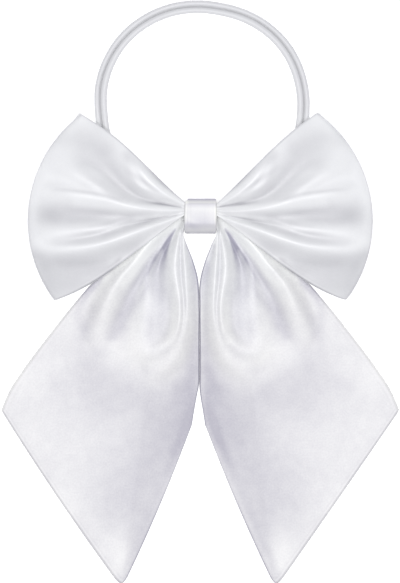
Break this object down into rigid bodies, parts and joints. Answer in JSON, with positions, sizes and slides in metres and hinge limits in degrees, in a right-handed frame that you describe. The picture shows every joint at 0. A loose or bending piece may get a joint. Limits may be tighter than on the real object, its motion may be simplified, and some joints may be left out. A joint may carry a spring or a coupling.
{
  "type": "neck bow",
  "caption": "Flat-lying satin neck bow: gathered hollow loops, pointed pleated tails, a wrapped knot and a round folded neck band.",
  "frame": {"origin": "middle of the knot's flat back, on the surface that the bow lies on", "axes": "+Z stands off the surface, out of the front of the bow; +Y runs up the front, from the tails to the neck band; +X is to the right in the front view"},
  "size_m": [0.199, 0.2918, 0.0175],
  "materials": {
    "loop_satin": "white satin, soft gloss along the folds",
    "tail_satin": "white satin, doubled and hemmed",
    "knot_satin": "white satin, drawn tight",
    "band_satin": "white satin over elastic, folded edges"
  },
  "bodies": {
    "root": {"bow_loops": "loop_satin", "left_tail": "tail_satin", "right_tail": "tail_satin", "knot_wrap": "knot_satin", "neck_band": "band_satin"}
  },
  "joints": []
}
